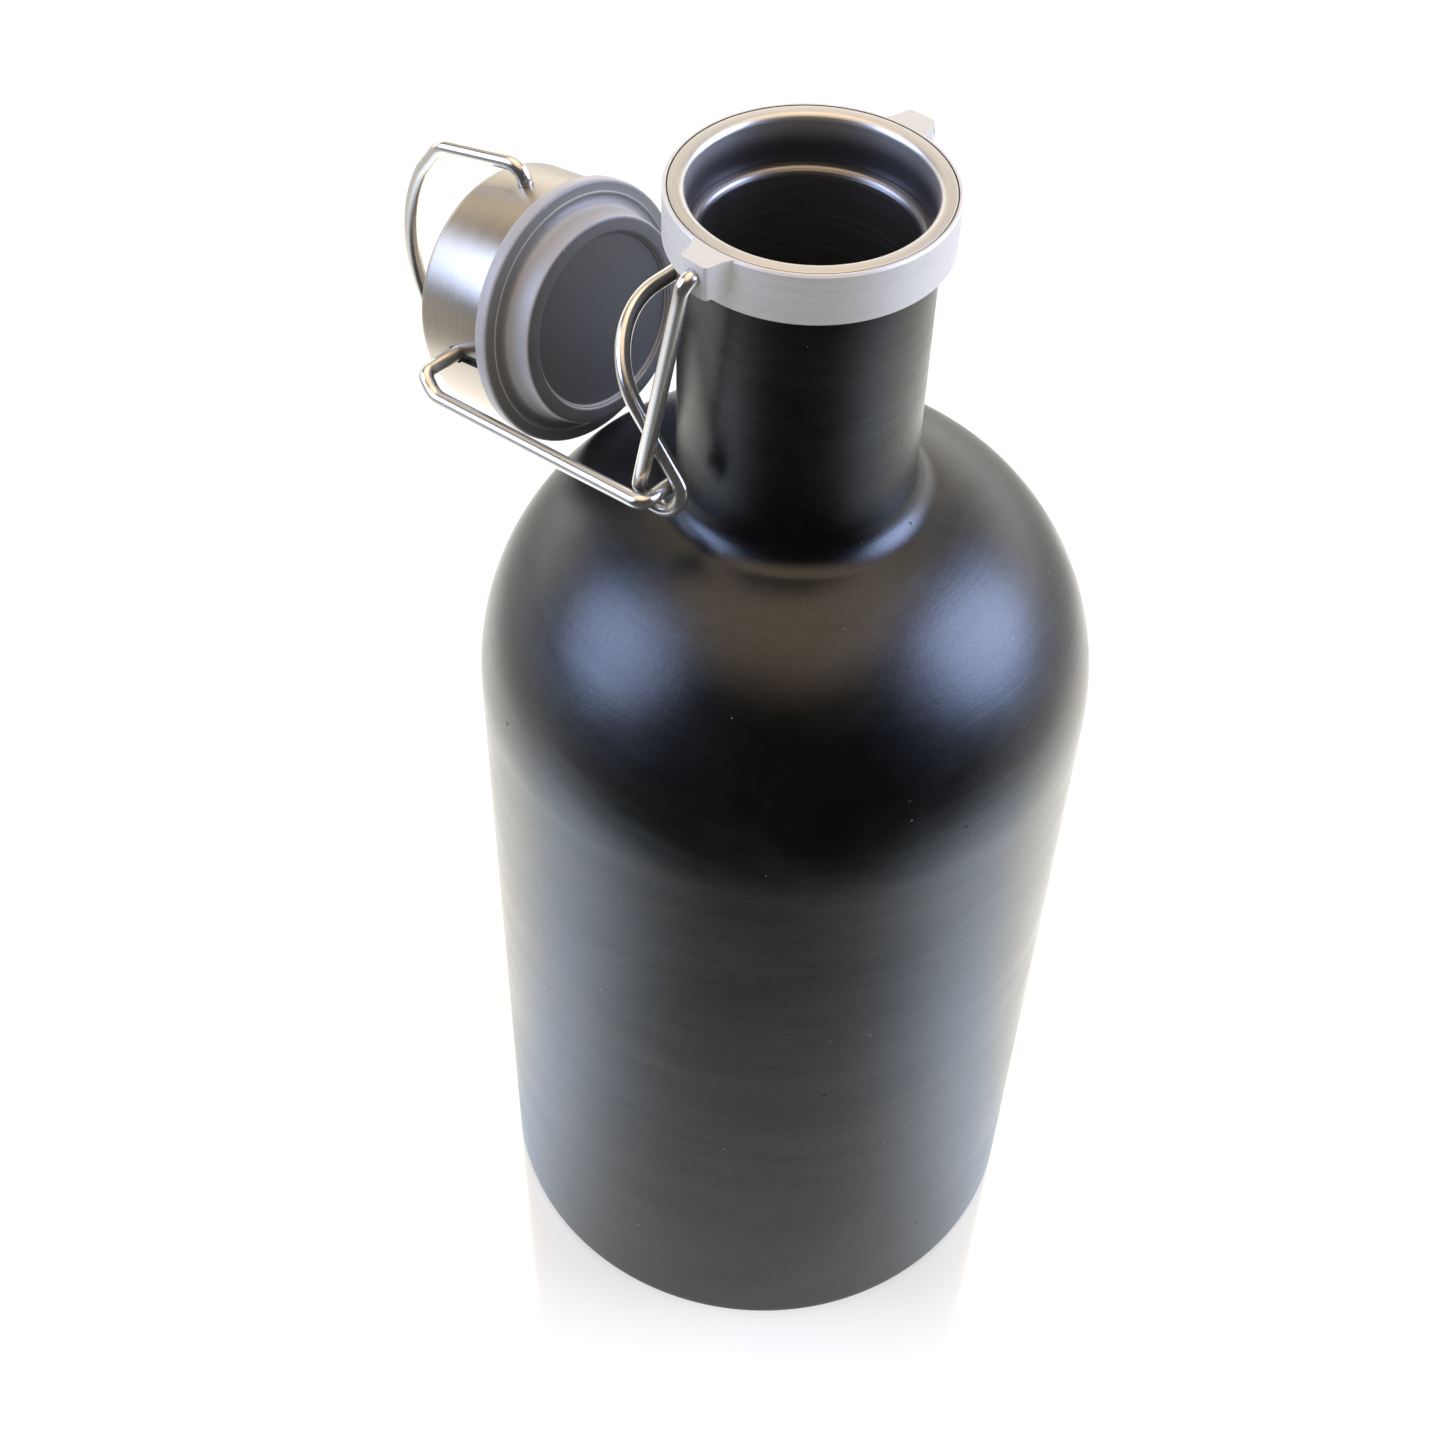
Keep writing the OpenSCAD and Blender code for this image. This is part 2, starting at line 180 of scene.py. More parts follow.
def material(name, colour=(0.5, 0.5, 0.5, 1)):
    m = bpy.data.materials.new(name)
    m.use_nodes = True
    m.diffuse_color = colour
    n = Nodes(m.node_tree)
    bsdf = n.new("ShaderNodeBsdfPrincipled")
    out = n.new("ShaderNodeOutputMaterial")
    n.tree.links.new(bsdf.outputs[0], out.inputs[0])
    return m, n, bsdf


# ---------------------------------------------------------------- materials
def coat_material():
    """Matt black powder coat: fine grain, faint turning lines, handling smudges, dust and small pits."""
    m, n, b = material("powder_coat_black", (0.015, 0.016, 0.018, 1))
    p = n.coords()
    cloud = n.noise(n.stretch(p, 13, 13, 34), 1.0, 6.0, 0.62, 1.3)
    wipe = n.noise(n.stretch(p, 7, 7, 150), 1.0, 4.0, 0.6, 0.5)
    tint = n.noise(n.vmath("ADD", n.stretch(p, 9, 9, 30), (3.1, 1.7, 5.2)), 1.0, 3.0, 0.55, 0.6)
    swirl = n.noise(n.stretch(p, 34, 34, 50), 1.0, 5.0, 0.7, 2.4)
    grain = n.noise(p, 1500, 3.0, 0.7)
    lines = n.noise(n.stretch(p, 30, 30, 1900), 1.0, 2.0, 0.5)
    base = n.mix(n.step(cloud, 0.40, 0.66), (0.0016, 0.0017, 0.0020, 1), (0.0060, 0.0064, 0.0078, 1))
    base = n.mix(n.math("MULTIPLY", n.step(tint, 0.46, 0.66), 0.6), base, (0.0064, 0.0055, 0.0046, 1))
    base = n.mix(n.math("MULTIPLY", grain, 0.3), base, (0.007, 0.007, 0.0075, 1))

    x, y, z = n.new("ShaderNodeSeparateXYZ", i0=p).outputs
    wide = n.vmath("LENGTH", n.stretch(p, 1, 1, 0))
    round_way = n.math("MULTIPLY", n.math("ARCTAN2", n.math("MULTIPLY", y, -1.0), x), 0.05)
    up_way = n.math("SUBTRACT", z, wide)
    base = n.mix(n.specks(round_way, up_way, 95, 0.019, 0.60), base, (0.20, 0.19, 0.175, 1))
    pit = n.specks(round_way, up_way, 42, 0.016, 0.60, 0.31)
    n.put(b, "Base Color", base)
    rough = n.math("ADD", 0.33, n.math("MULTIPLY", n.math("SUBTRACT", cloud, 0.5), 0.16))
    rough = n.math("ADD", rough, n.math("MULTIPLY", n.math("SUBTRACT", wipe, 0.5), 0.10))
    rough = n.math("ADD", rough, n.math("MULTIPLY", n.math("SUBTRACT", swirl, 0.5), 0.09))
    rough = n.math("ADD", rough, n.math("MULTIPLY", pit, 0.4))
    neck = n.step(z, NECK_START * MM, (NECK_START + 12) * MM)
    rough = n.math("ADD", rough, n.math("MULTIPLY", neck, 0.02))
    n.put(b, "Roughness", rough)
    b.inputs["IOR"].default_value = 1.5
    gloss = n.math("ADD", 0.43, n.math("MULTIPLY", n.step(cloud, 0.36, 0.66), 0.12))
    gloss = n.math("ADD", gloss, n.math("MULTIPLY", n.math("SUBTRACT", wipe, 0.5), 0.22))
    gloss = n.math("ADD", gloss, n.math("MULTIPLY", n.math("SUBTRACT", swirl, 0.5), 0.13))
    gloss = n.math("ADD", gloss, n.math("MULTIPLY", n.math("SUBTRACT", grain, 0.5), 0.22))
    gloss = n.math("SUBTRACT", gloss, n.math("MULTIPLY", neck, 0.14))
    n.put(b, "Specular IOR Level", gloss)
    n.put(b, "Specular Tint", n.mix(n.step(tint, 0.40, 0.60), (0.94, 0.98, 1.0, 1), (1.0, 0.97, 0.935, 1)))
    h = n.math("ADD", n.math("MULTIPLY", grain, 0.7), n.math("MULTIPLY", lines, 0.5))
    wave = n.bump(n.math("ADD", wipe, n.math("MULTIPLY", swirl, 0.25)), 0.10, 0.0006)
    n.put(b, "Normal", n.bump(h, 0.22, 0.00012, wave))
    return m


def brushed_material(name, colour, rough, contrast, metal, spread, line, centre=(0, 0), tilt=90.0, mouth=False,
                     speckle=0.0):
    """Stainless steel with fine grinding lines round an axis through centre (x, z in mm), tilted up from X.

    contrast darkens the lines, spread is how far they stretch the highlights, and line is the strength of their
    bump. mouth adds the seam round the mouth and painted shade deeper down the bore. speckle adds a satin
    fleck.
    """
    m, n, b = material(name, (*colour, 1))
    axis = (math.cos(rad(tilt)), 0, math.sin(rad(tilt)))
    p = n.vmath("SUBTRACT", n.coords(), (centre[0] * MM, 0, centre[1] * MM))
    along = n.vmath("DOT_PRODUCT", p, axis)
    flat = n.vmath("SUBTRACT", p, n.vmath("SCALE", axis, scale=along))
    radius = n.vmath("LENGTH", flat)
    comb = n.new("ShaderNodeCombineXYZ")
    n.put(comb, "i0", n.math("MULTIPLY", along, 4200))
    n.put(comb, "i1", n.math("MULTIPLY", radius, 4200))
    turn = n.vmath("SCALE", n.vmath("NORMALIZE", flat), scale=1.6)
    q = n.vmath("ADD", comb.outputs[0], turn)
    fine = n.noise(q, 1.0, 3.0, 0.65)
    broad = n.noise(n.vmath("MULTIPLY", q, (0.22, 0.22, 1.0)), 1.0, 2.0, 0.5)
    cloud = n.noise(p, 70, 4.0, 0.6)
    tone = n.math("ADD", n.math("MULTIPLY", fine, 0.7), n.math("MULTIPLY", broad, 0.3))
    low = tuple(c * (1 - contrast) for c in colour)
    col = n.mix(n.step(tone, 0.3, 0.7), (*low, 1), (*colour, 1))
    col = n.mix(n.math("MULTIPLY", n.step(cloud, 0.45, 0.75), 0.35), col, (*[c * 0.86 for c in colour], 1))
    if mouth:
        height = n.new("ShaderNodeSeparateXYZ", i0=n.coords()).outputs[2]
        # painted shade: inside the mouth the bore is darkened more the deeper it goes below the rim
        deep_shade = n.step(height, (HEIGHT - 1.0) * MM, (HEIGHT - 6.5) * MM)
        inside = n.step(radius, (MOUTH_R + 1.3) * MM, (MOUTH_R + 0.3) * MM)
        col = n.mix(n.math("MULTIPLY", deep_shade, inside), col, (0.19, 0.185, 0.215, 1), "MULTIPLY")
        seam = n.math("ABSOLUTE", n.math("SUBTRACT", radius, (RING_R + 0.03) * MM))
        seam = n.math("LESS_THAN", seam, 0.13 * MM)
        top = n.math("GREATER_THAN", height, (HEIGHT - 0.7) * MM)
        col = n.mix(n.math("MULTIPLY", seam, top), col, (0.03, 0.022, 0.016, 1))
    if speckle:
        fleck = n.noise(p, 1300, 4.0, 0.75)
        col = n.mix(n.math("MULTIPLY", n.step(fleck, 0.42, 0.72), speckle), col, (0.30, 0.285, 0.26, 1))
        tone = n.math("ADD", n.math("MULTIPLY", tone, 0.4), n.math("MULTIPLY", fleck, 0.6))
    n.put(b, "Base Color", col)
    b.inputs["Metallic"].default_value = metal
    n.put(b, "Roughness", n.math("ADD", rough, n.math("MULTIPLY", n.math("SUBTRACT", tone, 0.5), 0.16)))
    b.inputs["Anisotropic"].default_value = spread
    geo = n.new("ShaderNodeNewGeometry")
    grain = n.vmath("CROSS_PRODUCT", axis, n.vmath("NORMALIZE", flat))
    n.put(b, "Tangent", n.vmath("NORMALIZE", n.vmath("CROSS_PRODUCT", grain, geo.outputs["Normal"])))
    n.put(b, "Normal", n.bump(tone, line, 0.00005))
    return m


def wire_material():
    """Polished drawn wire with faint die lines along its length and small nicks."""
    m, n, b = material("polished_wire", (0.7, 0.69, 0.67, 1))
    uv = n.coords("UV")
    p = n.coords()
    die = n.noise(n.stretch(uv, 46, 0.25, 1), 1.0, 2.0, 0.5)
    nick = n.noise(p, 1100, 3.0, 0.6)
    col = n.mix(n.step(die, 0.35, 0.65), (0.50, 0.475, 0.435, 1), (0.56, 0.535, 0.495, 1))
    n.put(b, "Base Color", col)
    b.inputs["Metallic"].default_value = 0.84
    n.put(b, "Roughness", n.math("ADD", 0.20, n.math("MULTIPLY", n.step(nick, 0.55, 0.8), 0.10)))
    n.put(b, "Normal", n.bump(n.math("ADD", die, n.math("MULTIPLY", nick, 0.2)), 0.02, 0.00003))
    return m


def silicone_material():
    """Moulded grey silicone: satin, very slightly mottled, with dust on it, painted lighter on its sides and
    darker on its end faces as light and shade.
    """
    m, n, b = material("grey_silicone", (0.22, 0.225, 0.24, 1))
    p = n.coords()
    mott = n.noise(p, 75, 5.0, 0.65, 1.0)
    fine = n.noise(p, 3200, 2.0, 0.6)
    x, y, z = n.new("ShaderNodeSeparateXYZ", i0=p).outputs
    dust = n.specks(y, n.math("ADD", z, x), 210, 0.026, 0.56)
    axis = (math.cos(rad(LID_TILT)), 0, math.sin(rad(LID_TILT)))
    # painted light and shade: one grey in lit and shaded copies, lighter on the sides round the axis as painted
    # light, darker on the end faces as painted shade, a little less dark on the flange's face, and darkest in
    # the recess as painted shade
    end = n.step(n.math("ABSOLUTE", n.vmath("DOT_PRODUCT", n.coords("Normal"), axis)), 0.55, 0.95)
    side = n.mix(mott, (0.50, 0.485, 0.465, 1), (0.59, 0.572, 0.55, 1))
    face = n.mix(mott, (0.115, 0.112, 0.104, 1), (0.205, 0.200, 0.190, 1))
    off = n.vmath("SUBTRACT", p, (LID[0] * MM, 0, LID[1] * MM))
    along = n.vmath("DOT_PRODUCT", off, axis)
    radius = n.vmath("LENGTH", n.vmath("SUBTRACT", off, n.vmath("SCALE", axis, scale=along)))
    flange = n.step(radius, (PLUG_R + 0.5) * MM, (PLUG_R + 1.3) * MM)
    recess_shade = n.step(radius, (RECESS_R + 0.4) * MM, (RECESS_R - 0.3) * MM)
    face = n.mix(flange, face, (0.235, 0.228, 0.212, 1))
    face = n.mix(recess_shade, face, (0.112, 0.110, 0.102, 1))
    col = n.mix(end, side, face)
    col = n.mix(dust, col, (0.45, 0.45, 0.44, 1))
    n.put(b, "Base Color", col)
    n.put(b, "Roughness", n.math("ADD", 0.40, n.math("MULTIPLY", n.math("SUBTRACT", mott, 0.5), 0.14)))
    b.inputs["IOR"].default_value = 1.43
    n.put(b, "Normal", n.bump(n.math("ADD", fine, mott), 0.06, 0.0001))
    return m


def plain_material(name, colour, metallic, rough, scale=900, spread=0.25):
    m, n, b = material(name, (*colour, 1))
    p = n.coords()
    f = n.noise(p, scale, 3.0, 0.6)
    dark = tuple(c * (1 - spread) for c in colour)
    n.put(b, "Base Color", n.mix(f, (*dark, 1), (*colour, 1)))
    b.inputs["Metallic"].default_value = metallic
    n.put(b, "Roughness", n.math("ADD", rough - 0.06, n.math("MULTIPLY", f, 0.12)))
    n.put(b, "Normal", n.bump(f, 0.1, 0.0001))
    return m


COAT = coat_material()
STEEL = brushed_material("satin_steel_mouth", (0.57, 0.55, 0.52), rough=0.36, contrast=0.24, metal=0.80,
                         spread=0.5, line=0.14, mouth=True)
STEEL_COLLAR = brushed_material("satin_steel_collar", (0.78, 0.755, 0.705), rough=0.48, contrast=0.10,
                                metal=0.22, spread=0.3, line=0.3, mouth=True, speckle=0.10)
STEEL_CAP = brushed_material("brushed_steel_cap", (0.375, 0.335, 0.275), rough=0.33, contrast=0.14, metal=0.95,
                             spread=0.7, line=0.10, centre=LID, tilt=LID_TILT)
STEEL_IN = brushed_material("drawn_steel_inside", (0.26, 0.245, 0.23), rough=0.33, contrast=0.45, metal=0.9,
                            spread=0.5, line=0.25)
WIRE = wire_material()
SILICONE = silicone_material()
CARRIER = plain_material("carrier_plastic", (0.05, 0.05, 0.05), 0.0, 0.5)
BEAD = plain_material("solder_bead", (0.30, 0.30, 0.27), 0.6, 0.4)
GETTER = plain_material("getter_pellet", (0.19, 0.19, 0.18), 0.3, 0.7)


# ---------------------------------------------------------------- mesh helpers
def make_mesh(name, verts, faces, mat, smooth_angle=30.0, uvs=None):
    me = bpy.data.meshes.new(name)
    me.from_pydata([Vector(v) * MM for v in verts], [], faces)
    me.validate()
    bm = bmesh.new()
    bm.from_mesh(me)
    bmesh.ops.recalc_face_normals(bm, faces=bm.faces)
    bm.to_mesh(me)
    bm.free()
    if uvs is not None:
        layer = me.uv_layers.new(name="UVMap")
        for loop in me.loops:
            layer.data[loop.index].uv = uvs[loop.vertex_index]
    me.polygons.foreach_set("use_smooth", [True] * len(me.polygons))
    me.set_sharp_from_angle(angle=rad(smooth_angle))
    me.materials.append(mat)
    o = bpy.data.objects.new(name, me)
    bpy.context.scene.collection.objects.link(o)
    return o


def lathe(name, profile, mat, seg=192, smooth_angle=30.0, place=None):
    """Turns a closed (radius, height) outline round Z. place maps a point (mm) to its position."""
    verts, faces, rows = [], [], []
    turns = [2 * math.pi * i / seg for i in range(seg)]
    for r, z in profile:
        if r < 1e-6:
            rows.append([len(verts)] * seg)
            verts.append((0, 0, z))
        else:
            rows.append(list(range(len(verts), len(verts) + seg)))
            verts += [(r * math.cos(a), r * math.sin(a), z) for a in turns]
    for a in range(len(rows)):
        ra, rb = rows[a], rows[(a + 1) % len(rows)]
        for i in range(seg):
            j = (i + 1) % seg
            quad = [ra[i], ra[j], rb[j], rb[i]]
            face = [v for k, v in enumerate(quad) if v != quad[k - 1]]
            if len(set(face)) > 2:
                faces.append(face)
    if place:
        verts = [place(Vector(v)) for v in verts]
    return make_mesh(name, verts, faces, mat, smooth_angle)


def arc(cx, cz, r, a0, a1, n):
    """Points on a round stretch of an outline, from angle a0 to a1 in degrees."""
    angles = [rad(a0 + (a1 - a0) * i / n) for i in range(n + 1)]
    return [(cx + r * math.cos(a), cz + r * math.sin(a)) for a in angles]


def fillet(points, radii, n=10):
    """Rounds the inner corners of a polyline."""
    pts = [Vector(p) for p in points]
    out = []
    for i, p in enumerate(pts):
        if i in (0, len(pts) - 1) or not radii[i]:
            out.append(p)
            continue
        a, b = (pts[i - 1] - p).normalized(), (pts[i + 1] - p).normalized()
        half = math.acos(max(-1, min(1, a.dot(b)))) / 2
        cut, c = radii[i] / math.tan(half), p + (a + b).normalized() * radii[i] / math.sin(half)
        u = (p + a * cut - c).normalized()
        w = (p + b * cut - c)
        w = (w - w.dot(u) * u).normalized()
        for k in range(n + 1):
            a = (math.pi - 2 * half) * k / n
            out.append(c + radii[i] * (math.cos(a) * u + math.sin(a) * w))
    return out


def resample(path, gap):
    """Adds points to long straight stretches so that streaks and reflections stay even."""
    out = [path[0]]
    for a, b in zip(path, path[1:]):
        k = max(1, int((b - a).length / gap))
        out += [a.lerp(b, i / k) for i in range(1, k + 1)]
    return out


def wire(name, path, mat, r=WIRE_R, sides=28, place=None):
    """Sweeps a round wire with softly rounded cut ends along a path (mm)."""
    path = resample(path, 3.0)
    n = len(path)
    tan = [(path[min(i + 1, n - 1)] - path[max(i - 1, 0)]).normalized() for i in range(n)]
    side = Vector((0.31, 0.2, 0.93))
    length, rings = 0.0, []
    for i, at in enumerate(path):
        side = (side - side.dot(tan[i]) * tan[i]).normalized()
        other = tan[i].cross(side)
        if i:
            length += (at - path[i - 1]).length
        if i == 0:
            rings += [(at + tan[i] * d, side, other, r * k, d) for d, k in WIRE_END]
        elif i == n - 1:
            rings += [(at - tan[i] * d, side, other, r * k, length) for d, k in reversed(WIRE_END)]
        else:
            rings.append((at, side, other, r, length))
    verts, uvs = [], []
    for at, side, other, ring_r, length in rings:
        for k in range(sides):
            a = 2 * math.pi * k / sides
            verts.append(at + ring_r * (math.cos(a) * side + math.sin(a) * other))
            uvs.append((0.5 + 0.5 * math.cos(a), length * 0.1 + 0.001 * math.sin(a)))
    faces = []
    for i in range(len(rings) - 1):
        for k in range(sides):
            j = (k + 1) % sides
            faces.append([i * sides + k, i * sides + j, (i + 1) * sides + j, (i + 1) * sides + k])
    faces.append(list(range(sides)))
    faces.append([(len(rings) - 1) * sides + k for k in range(sides)])
    if place:
        verts = [place(v) for v in verts]
    return make_mesh(name, verts, faces, mat, 40.0, uvs)


def lid_place(swing=0.0):
    """Maps the lid's own frame (Z towards the plug, Y along the hinge) to the open lid."""
    c, s = math.cos(rad(LID_TILT)), math.sin(rad(LID_TILT))
    cs, ss = math.cos(rad(swing)), math.sin(rad(swing))

    def f(v):
        x, y, z = v
        y, z = y * cs - z * ss, y * ss + z * cs
        return Vector((LID[0] + x * s + z * c, y, LID[1] - x * c + z * s))
    return f


def cad_copy(node, name, mat, angle=28.0, bevel=0.0):
    """A copy of a CAD node with clean shading and, where asked, softened edges."""
    me = NODES[node].data.copy()
    me.name = name
    bm = bmesh.new()
    bm.from_mesh(me)
    bmesh.ops.remove_doubles(bm, verts=bm.verts, dist=1e-6)
    bmesh.ops.dissolve_limit(bm, angle_limit=rad(0.3), verts=bm.verts, edges=bm.edges)
    bm.to_mesh(me)
    bm.free()
    me.materials.clear()
    me.materials.append(mat)
    me.polygons.foreach_set("use_smooth", [True] * len(me.polygons))
    me.set_sharp_from_angle(angle=rad(angle))
    o = bpy.data.objects.new(name, me)
    bpy.context.scene.collection.objects.link(o)
    if bevel:
        mod = o.modifiers.new("soft_edges", "BEVEL")
        mod.width = bevel * MM
        mod.segments = 3
        mod.limit_method = "ANGLE"
        mod.angle_limit = rad(angle)
        mod.harden_normals = True
    return o


def finish_piece(o, body, slot, *nodes):
    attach(o, body)
    if nodes:
        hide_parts(*nodes)
    return o


# ---------------------------------------------------------------- bottle
def shoulder_profile(d, n=72):
    """Shoulder ellipse and flared neck foot, moved inwards by d."""
    sa = BODY_R - SHOULDER_R
    foot_t = math.degrees(math.acos((NECK_R + FOOT_R - SHOULDER_R - FOOT_R * 0.27) / sa))

    def point(t, off):
        x, z = math.cos(rad(t)), math.sin(rad(t))
        nx, nz = x / sa, z / SHOULDER_H
        k = math.hypot(nx, nz)
        at = (SHOULDER_R + sa * x - off * nx / k, SHOULDER_Z + SHOULDER_H * z - off * nz / k)
        return at, (nx / k, nz / k)
    out = [point(foot_t * i / n, d)[0] for i in range(n + 1)]
    (_, pz), (nx, nz) = point(foot_t, 0)
    cx, cz = NECK_R + FOOT_R, pz + FOOT_R * nz
    a0 = math.degrees(math.atan2(-nz, -nx)) + 360
    out += arc(cx, cz, FOOT_R + d, a0, 180, 16)[1:]
    return out


def build_bottle():
    body = [(BODY_R - 0.7, 0.9)] + arc(BODY_R - 0.7, 1.6, 0.7, -90, 0, 6)
    body += [(BODY_R, 3 + 3.2 * i) for i in range(51)]  # rings up the wall keep its shading even
    outer = body + shoulder_profile(0.0) + [(NECK_R, 240), (NECK_R, 258), (NECK_R, LEDGE_Z)]
    inner = [(NECK_R - OUTER_T, LEDGE_Z), (NECK_R - OUTER_T, 240)] + shoulder_profile(OUTER_T, 36)[::-1]
    inner += [(BODY_R - OUTER_T, 0.9)]
    coat = lathe("bottle_coat", outer + inner, COAT, 256, 35)
    finish_piece(coat, "bottle", "black_coat", "outer_shell", "outer_neck")

    base = [(0, 0), (60.9, 0)] + arc(60.9, 0.7, 0.7, -90, 0, 5) + [(61.6, 0.85), (61.2, 1.45), (0, 1.45)]
    finish_piece(lathe("base_disc", base, COAT, 192), "bottle", "black_coat", "base_cover")

    ring = [(MOUTH_R, LEDGE_Z + 0.05), (RING_R, LEDGE_Z + 0.05), (RING_R, HEIGHT - 0.25)]
    ring += arc(RING_R - 0.25, HEIGHT - 0.25, 0.25, 0, 90, 4)
    ring += arc(MOUTH_R + MOUTH_EDGE, HEIGHT - MOUTH_EDGE, MOUTH_EDGE, 90, 180, 12)
    finish_piece(lathe("mouth_rim", ring, STEEL, 256), "bottle", "steel_brushed", "mouth_ring")

    collar = cad_copy("neck_collar", "collar_with_lugs", STEEL_COLLAR, 28, 0.3)
    finish_piece(collar, "bottle", "steel_brushed", "neck_collar")

    # the CAD nodes that stay get their materials and smooth shading
    for node, mat in (("outer_bottom", STEEL_IN), ("inner_wall", STEEL_IN), ("inner_neck", STEEL_IN),
                      ("inner_bottom", STEEL_IN), ("getter_clip", STEEL_IN), ("getter", GETTER),
                      ("evacuation_seal", BEAD), ("lid_core", CARRIER)):
        me = NODES[node].data
        me.materials.clear()
        me.materials.append(mat)
        me.polygons.foreach_set("use_smooth", [True] * len(me.polygons))
        me.set_sharp_from_angle(angle=rad(28))


# ---------------------------------------------------------------- wires
def lever_half(s):
    """Side s of the pull lever: lug pin, leg, eye, then half the handle bow."""
    px, pz = EYE[0], EYE[1] - PIVOT_Z
    tilt = math.degrees(math.atan2(-px, -pz)) + math.degrees(math.asin(EYE_R / math.hypot(px, pz)))
    arc_y = LEVER_Y - 2 * WIRE_R - 0.3
    leg = (-math.sin(rad(tilt)) * 8, s * LEVER_Y, PIVOT_Z - math.cos(rad(tilt)) * 8)
    path = fillet([(0, s * (RING_R + 0.35), PIVOT_Z), (0, s * LEVER_Y, PIVOT_Z), leg], [0, 2, 0], 8)
    turn = arc(*EYE, EYE_R, 180 - tilt, 360 + HANDLE_TILT, 40)
    path += [Vector((x, s * (LEVER_Y + (arc_y - LEVER_Y) * i / 40), z)) for i, (x, z) in enumerate(turn)]
    hd = (-math.sin(rad(HANDLE_TILT)), math.cos(rad(HANDLE_TILT)))
    h0 = (EYE[0] + EYE_R * math.cos(rad(HANDLE_TILT)), EYE[1] + EYE_R * math.sin(rad(HANDLE_TILT)))
    for q in fillet([(0, arc_y, 0), (HANDLE_H, arc_y, 0), (HANDLE_H, 0, 0)], [0, 17, 0], 24):
        if q.x > 1:
            path.append(Vector((h0[0] + q.x * hd[0], s * q.y, h0[1] + q.x * hd[1])))
    return path


def bail_half(s):
    """Side s of the bail: hook through the lever's eye, arm, then the rod into the lid."""
    points = [(EYE[0], s * (LEVER_Y - 5.5), EYE[1]), (EYE[0], s * BAIL_Y, EYE[1]),
              (LID[0] + 4.4, s * (BAIL_Y - 0.4), LID[1] - 2.2),
              (LID[0] + 0.3, s * (BAIL_Y - 1.6), LID[1] + 0.6), (LID[0], s * 26, LID[1])]
    return fillet(points, [0, 2.2, 5, 2.4, 0], 12)


def loop_half(s):
    """Side s of the carrying loop: end hooked in the lid, arm, corner, then half the wide bow."""
    bow_r, bow_half = 38.0, 38.2
    bow_z = LOOP_H - bow_r
    path = fillet([(s * (CAP_R - 2.4), 0, 0), (s * LOOP_R, 0, 0), (s * LOOP_R, 0, -9)], [0, 3.8, 0], 12)
    corner = [(s * LOOP_R, 0, -15), (s * LOOP_R, 0, -bow_z - 23.6), (s * 23.5, 0, -bow_z - 29.86)]
    path += fillet(corner, [0, 5, 0], 14)
    bow = arc(0, -bow_z, bow_r, bow_half - 90, -90, 16)[1:]
    return path + [Vector((s * x, 0, z)) for x, z in bow]


def joined(half):
    a, b = half(-1), half(1)
    return a[:-1] + b[::-1]


def build_wires():
    finish_piece(wire("lever_polished", joined(lever_half), WIRE), "lever", "steel_wire", "lever_wire")
    finish_piece(wire("bail_polished", joined(bail_half), WIRE), "bail", "steel_wire", "bail_wire")
    a, b = loop_half(1), loop_half(-1)
    loop = wire("lid_loop_polished", a[:-1] + b[::-1], WIRE, place=lid_place(-LOOP_REST))
    finish_piece(loop, "loop", "steel_wire", "lid_loop")


# ---------------------------------------------------------------- lid
def build_lid():
    cap = cad_copy("lid_cap", "lid_steel_cap", STEEL_CAP, 24)
    finish_piece(cap, "lid", "steel_brushed", "lid_cap")
    f0, f1 = SEAL_FRONT - FLANGE_T, SEAL_FRONT
    tip = f1 + PLUG_H
    pr = [(0, 4.3), (8.4, 4.3), (9, 4.9), (9, f0), (FLANGE_R - 0.7, f0)]
    pr += arc(FLANGE_R - 0.7, f0 + 0.7, 0.7, -90, 0, 8)[1:]
    pr += arc(FLANGE_R - 0.9, f1 - 0.9, 0.9, 0, 90, 8)
    pr += [(24.9, f1)] + arc(24.45, f1 + 0.05, 0.3, 0, 180, 8) + [(24.0, f1 - 0.05)]
    pr += arc(PLUG_R + 2.2, f1 + 2.15, 2.2, -90, -180, 12)
    pr += arc(PLUG_R - 1.1, tip - 0.8, 0.8, 0, 90, 8)
    pr += arc(RECESS_R + 0.7, tip - 0.5, 0.5, 90, 180, 6) + arc(RECESS_R - 0.5, tip - 0.6, 0.5, 0, -90, 5)
    pr += [(0, tip - 1.1)]
    stop = lathe("silicone_stopper", pr, SILICONE, 192, 40, lid_place())
    finish_piece(stop, "lid", "silicone", "lid_stopper")


# ---------------------------------------------------------------- studio
def heading(az, el):
    """Direction at an angle right of the camera's side and above the floor."""
    h = FRONT * math.cos(rad(az)) + RIGHT * math.sin(rad(az))
    return tuple(h * math.cos(rad(el)) + Vector((0, 0, math.sin(rad(el)))))


